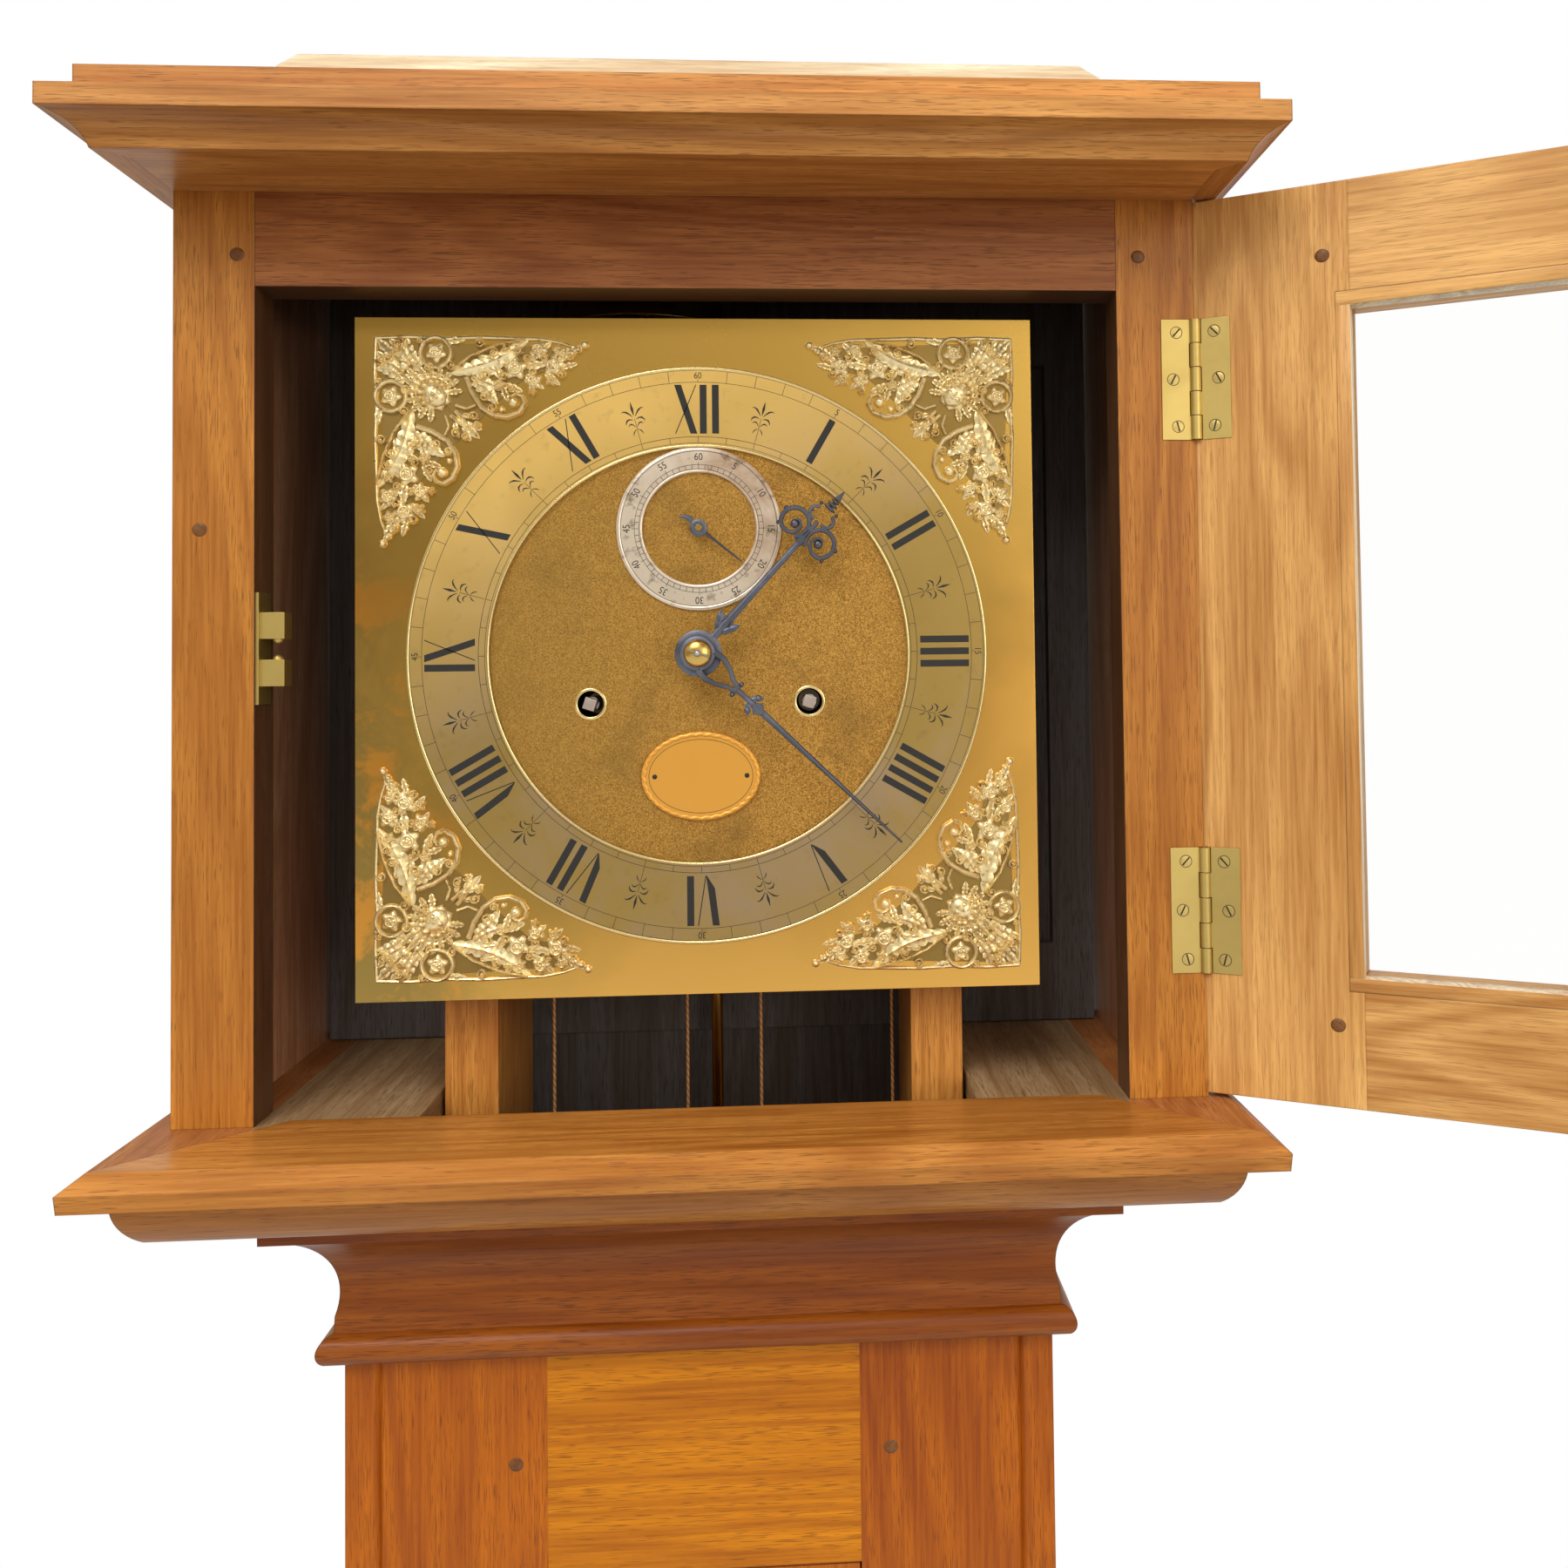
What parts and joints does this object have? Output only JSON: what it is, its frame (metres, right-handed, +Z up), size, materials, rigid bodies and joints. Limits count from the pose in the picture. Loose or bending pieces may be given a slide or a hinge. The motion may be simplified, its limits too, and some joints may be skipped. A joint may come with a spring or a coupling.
{
  "type": "longcase clock",
  "caption": "Oak longcase clock with a slide-off hood, open glazed door, square brass dial, pierced hands, hanging weights and a long pendulum.",
  "frame": {"origin": "centre of the base's width on the floor, 44.5 mm behind the dial's front face", "axes": "+Z up, +X to the viewer's right, +Y to the back"},
  "size_m": [0.8706, 0.3743, 1.9114],
  "materials": {
    "oak": "satin varnish",
    "brass": "polished",
    "glass": "clear",
    "silvered": "worn silvering",
    "gilt": "cast, pale gilt",
    "blued_steel": "blued and greyed",
    "steel": "bright",
    "iron": "dark painted",
    "line": "twisted"
  },
  "bodies": {
    "case": {"back_frame": "oak", "backboard": "oak", "base_floor": "oak", "base_moulding": "oak", "base_panels": "oak", "chapter_ring": "silvered", "cheeks": "oak", "corner_spandrels": "gilt", "dial_plate": "brass", "going_line": "line", "oval_plate": "brass", "plate_back": "brass", "plate_front": "brass", "plate_pillars": "brass", "seatboard": "oak", "seconds_ring": "silvered", "skirting": "oak", "strike_bell": "brass", "strike_line": "line", "throat_moulding_front": "oak", "throat_moulding_sides": "oak", "trunk_front_frame": "oak", "trunk_hinge_leaves": "brass", "trunk_sides": "oak"},
    "hood": {"hood_stiles": "oak", "hood_top_rail": "oak", "hood_sides": "oak", "hood_sill_front": "oak", "hood_sill_sides": "oak", "hood_cornice_front": "oak", "hood_cornice_sides": "oak", "hood_top_board": "oak", "hood_top_cap": "oak", "hood_hinge_leaves": "brass", "ball_catch": "brass"},
    "hood_door": {"door_stile_hinge": "oak", "door_stile_latch": "oak", "door_rails": "oak", "door_glass": "glass", "door_hinge_leaves": "brass", "catch_tongue": "brass"},
    "trunk_door_leaf": {"trunk_door": "oak", "trunk_door_leaves": "brass"},
    "minute": {"centre_wheel": "brass", "minute_hand": "blued_steel"},
    "hour": {"hour_wheel": "brass", "hour_hand": "blued_steel"},
    "motion": {"motion_wheel": "brass"},
    "great": {"going_great_wheel": "brass"},
    "third": {"third_wheel": "brass"},
    "escape": {"escape_wheel": "brass", "seconds_hand": "blued_steel"},
    "going_drum": {"going_barrel": "brass"},
    "strike_drum": {"strike_barrel": "brass"},
    "anchor": {"pallets": "steel"},
    "swing": {"pendulum": "brass"},
    "going_mass": {"going_weight": "iron"},
    "strike_mass": {"strike_weight": "iron"},
    "going_sheave": {"going_pulley": "brass"},
    "strike_sheave": {"strike_pulley": "brass"}
  },
  "joints": [
    {"name": "hood_slide", "type": "slide", "parent": "case", "child": "hood", "axis": [0, -1, 0], "range_m": [0, 0.23]},
    {"name": "hood_door_hinge", "type": "hinge", "parent": "hood", "child": "hood_door", "pos_m": [0.22345, -0.0661, 1.64], "axis": [0, 0, 1], "range_deg": [-151.2, 20]},
    {"name": "trunk_door_hinge", "type": "hinge", "parent": "case", "child": "trunk_door_leaf", "pos_m": [0.068, -0.0556, 0.9], "axis": [0, 0, 1], "range_deg": [0, 110]},
    {"name": "minute_turn", "type": "hinge", "parent": "case", "child": "minute", "pos_m": [0, 0, 1.64], "axis": [0, 1, 0], "continuous": true},
    {"name": "hour_turn", "type": "hinge", "parent": "case", "child": "hour", "pos_m": [0, -0.04, 1.64], "axis": [0, 1, 0], "continuous": true},
    {"name": "motion_turn", "type": "hinge", "parent": "case", "child": "motion", "pos_m": [0, -0.025, 1.613], "axis": [0, 1, 0], "continuous": true},
    {"name": "great_turn", "type": "hinge", "parent": "case", "child": "great", "pos_m": [0.049, 0.029, 1.618], "axis": [0, 1, 0], "continuous": true},
    {"name": "third_turn", "type": "hinge", "parent": "case", "child": "third", "pos_m": [0.00823, 0, 1.66947], "axis": [0, 1, 0], "continuous": true},
    {"name": "seconds_turn", "type": "hinge", "parent": "case", "child": "escape", "pos_m": [0, 0, 1.6966], "axis": [0, 1, 0], "continuous": true},
    {"name": "going_wind", "type": "hinge", "parent": "case", "child": "going_drum", "pos_m": [0.049, 0, 1.618], "axis": [0, 1, 0], "range_deg": [0, 5146]},
    {"name": "strike_wind", "type": "hinge", "parent": "case", "child": "strike_drum", "pos_m": [-0.049, 0, 1.618], "axis": [0, 1, 0], "range_deg": [0, 5146]},
    {"name": "going_lift", "type": "slide", "parent": "case", "child": "going_mass", "axis": [0, 0, 1], "range_m": [0, 1.1], "deforming": ["going_line"]},
    {"name": "going_sheave_turn", "type": "hinge", "parent": "going_mass", "child": "going_sheave", "pos_m": [0.056, 0, 0.375], "axis": [0, 1, 0], "range_deg": [0, 2001]},
    {"name": "strike_lift", "type": "slide", "parent": "case", "child": "strike_mass", "axis": [0, 0, 1], "range_m": [0, 1.1], "deforming": ["strike_line"]},
    {"name": "strike_sheave_turn", "type": "hinge", "parent": "strike_mass", "child": "strike_sheave", "pos_m": [-0.042, 0, 0.375], "axis": [0, 1, 0], "range_deg": [0, 2001]},
    {"name": "pendulum_swing", "type": "hinge", "parent": "case", "child": "swing", "pos_m": [0, 0.062, 1.7296], "axis": [0, 1, 0], "range_deg": [-3, 3]},
    {"name": "anchor_rock", "type": "hinge", "parent": "case", "child": "anchor", "pos_m": [0, 0.01, 1.7296], "axis": [0, 1, 0], "range_deg": [-3, 3]}
  ],
  "couplings": [
    {"joint": "hour_turn", "follows": "minute_turn", "ratio": 0.083333},
    {"joint": "motion_turn", "follows": "minute_turn", "ratio": -1},
    {"joint": "great_turn", "follows": "minute_turn", "ratio": -0.083333},
    {"joint": "third_turn", "follows": "minute_turn", "ratio": -7.5},
    {"joint": "seconds_turn", "follows": "minute_turn", "ratio": 60},
    {"joint": "anchor_rock", "follows": "pendulum_swing", "ratio": 1},
    {"joint": "going_wind", "follows": "going_lift", "rad_per_m": 81.633},
    {"joint": "going_sheave_turn", "follows": "going_lift", "rad_per_m": 31.746},
    {"joint": "strike_wind", "follows": "strike_lift", "rad_per_m": 81.633},
    {"joint": "strike_sheave_turn", "follows": "strike_lift", "rad_per_m": 31.746}
  ]
}
